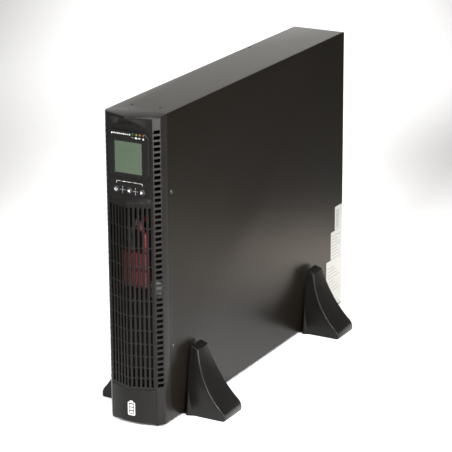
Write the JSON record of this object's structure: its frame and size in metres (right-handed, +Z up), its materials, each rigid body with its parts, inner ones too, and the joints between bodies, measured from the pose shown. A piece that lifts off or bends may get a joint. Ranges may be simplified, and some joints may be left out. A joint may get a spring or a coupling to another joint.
{
  "type": "uninterruptible power supply",
  "caption": "Slim rack or tower uninterruptible power supply on tower feet, with a slitted bezel, a barred grille, a turning display and a rear panel of sockets.",
  "frame": {"origin": "middle of the footprint, at the floor under the tower feet", "axes": "+Z up, -Y towards the bezel, +X to the right seen from the front"},
  "size_m": [0.1994, 0.5746, 0.4413],
  "materials": {
    "steel": "matte black powder coat",
    "bezel": "fine spark texture, black",
    "panel": "satin black",
    "foot": "semi-gloss black",
    "rubber": "soft touch black",
    "white": "white inlay",
    "lcd": "unlit green-grey liquid crystal",
    "led_green": "unlit lens",
    "led_amber": "unlit lens",
    "led_red": "unlit lens",
    "zinc": "zinc plated",
    "aluminium": "extruded",
    "brass": "plain",
    "copper": "enamelled wire",
    "winding": "tape wrapped",
    "capacitor": "shrink sleeve",
    "circuit_board": "solder mask",
    "battery": "moulded case",
    "fan": "moulded black",
    "outlet": "moulded black",
    "green_plastic": "moulded green",
    "red_plastic": "moulded red",
    "red_insulation": "cable insulation",
    "black_insulation": "cable insulation"
  },
  "bodies": {
    "case": {"battery_1": "battery", "battery_2": "battery", "battery_3": "battery", "battery_4": "battery", "battery_door": "steel", "battery_lead_black": "black_insulation", "battery_lead_red": "red_insulation", "battery_tray": "zinc", "bottom_panel": "steel", "breaker_body": "outlet", "capacitor_1": "capacitor", "capacitor_2": "capacitor", "choke": "copper", "connector_battery_side": "red_plastic", "connector_unit_side": "red_plastic", "cover_screw_lower": "zinc", "cover_screw_upper": "zinc", "epo_terminal": "green_plastic", "fan_frame_lower": "fan", "fan_frame_upper": "fan", "fan_guard_lower": "zinc", "fan_guard_upper": "zinc", "foot_front_left": "foot", "foot_front_right": "foot", "foot_rear_left": "foot", "foot_rear_right": "foot", "front_bulkhead": "steel", "ground_screw": "brass", "heatsink_lower": "aluminium", "heatsink_upper": "aluminium", "left_panel": "steel", "main_board": "circuit_board", "network_slot_cover": "zinc", "outlet_block_lower": "outlet", "outlet_block_upper": "outlet", "power_inlet": "outlet", "rear_panel": "steel", "serial_port": "zinc", "side_cover": "steel", "top_panel": "steel", "transformer": "winding", "usb_port": "zinc"},
    "bezel": {"bezel_frame": "bezel", "front_grille": "bezel", "lower_plate": "bezel", "emblem": "white", "control_panel": "panel"},
    "display": {"display_housing": "panel", "display_window": "lcd", "display_board": "circuit_board", "led_line": "led_green", "led_battery": "led_amber", "led_bypass": "led_amber", "led_fault": "led_red"},
    "power_button": {"button_power": "rubber"},
    "left_button": {"button_left": "rubber"},
    "right_button": {"button_right": "rubber"},
    "upper_rotor": {"fan_rotor_upper": "fan"},
    "lower_rotor": {"fan_rotor_lower": "fan"},
    "breaker_reset": {"breaker_button": "rubber"}
  },
  "joints": [
    {"name": "bezel_pull", "type": "slide", "parent": "case", "child": "bezel", "axis": [0, -1, 0], "range_m": [0, 0.06]},
    {"name": "display_turn", "type": "hinge", "parent": "bezel", "child": "display", "pos_m": [-0.00765, -0.2748, 0.3875], "axis": [0, 1, 0], "range_deg": [0, 90]},
    {"name": "power_button_press", "type": "slide", "parent": "bezel", "child": "power_button", "axis": [0, 1, 0], "range_m": [0, 0.0008], "stiffness_N_per_m": 300},
    {"name": "left_button_press", "type": "slide", "parent": "bezel", "child": "left_button", "axis": [0, 1, 0], "range_m": [0, 0.0008], "stiffness_N_per_m": 300},
    {"name": "right_button_press", "type": "slide", "parent": "bezel", "child": "right_button", "axis": [0, 1, 0], "range_m": [0, 0.0008], "stiffness_N_per_m": 300},
    {"name": "upper_fan_spin", "type": "hinge", "parent": "case", "child": "upper_rotor", "pos_m": [-0.00765, 0.2687, 0.2933], "axis": [0, 1, 0], "continuous": true},
    {"name": "lower_fan_spin", "type": "hinge", "parent": "case", "child": "lower_rotor", "pos_m": [-0.00765, 0.2687, 0.2253], "axis": [0, 1, 0], "continuous": true},
    {"name": "breaker_pop", "type": "slide", "parent": "case", "child": "breaker_reset", "axis": [0, 1, 0], "range_m": [0, 0.003]}
  ]
}
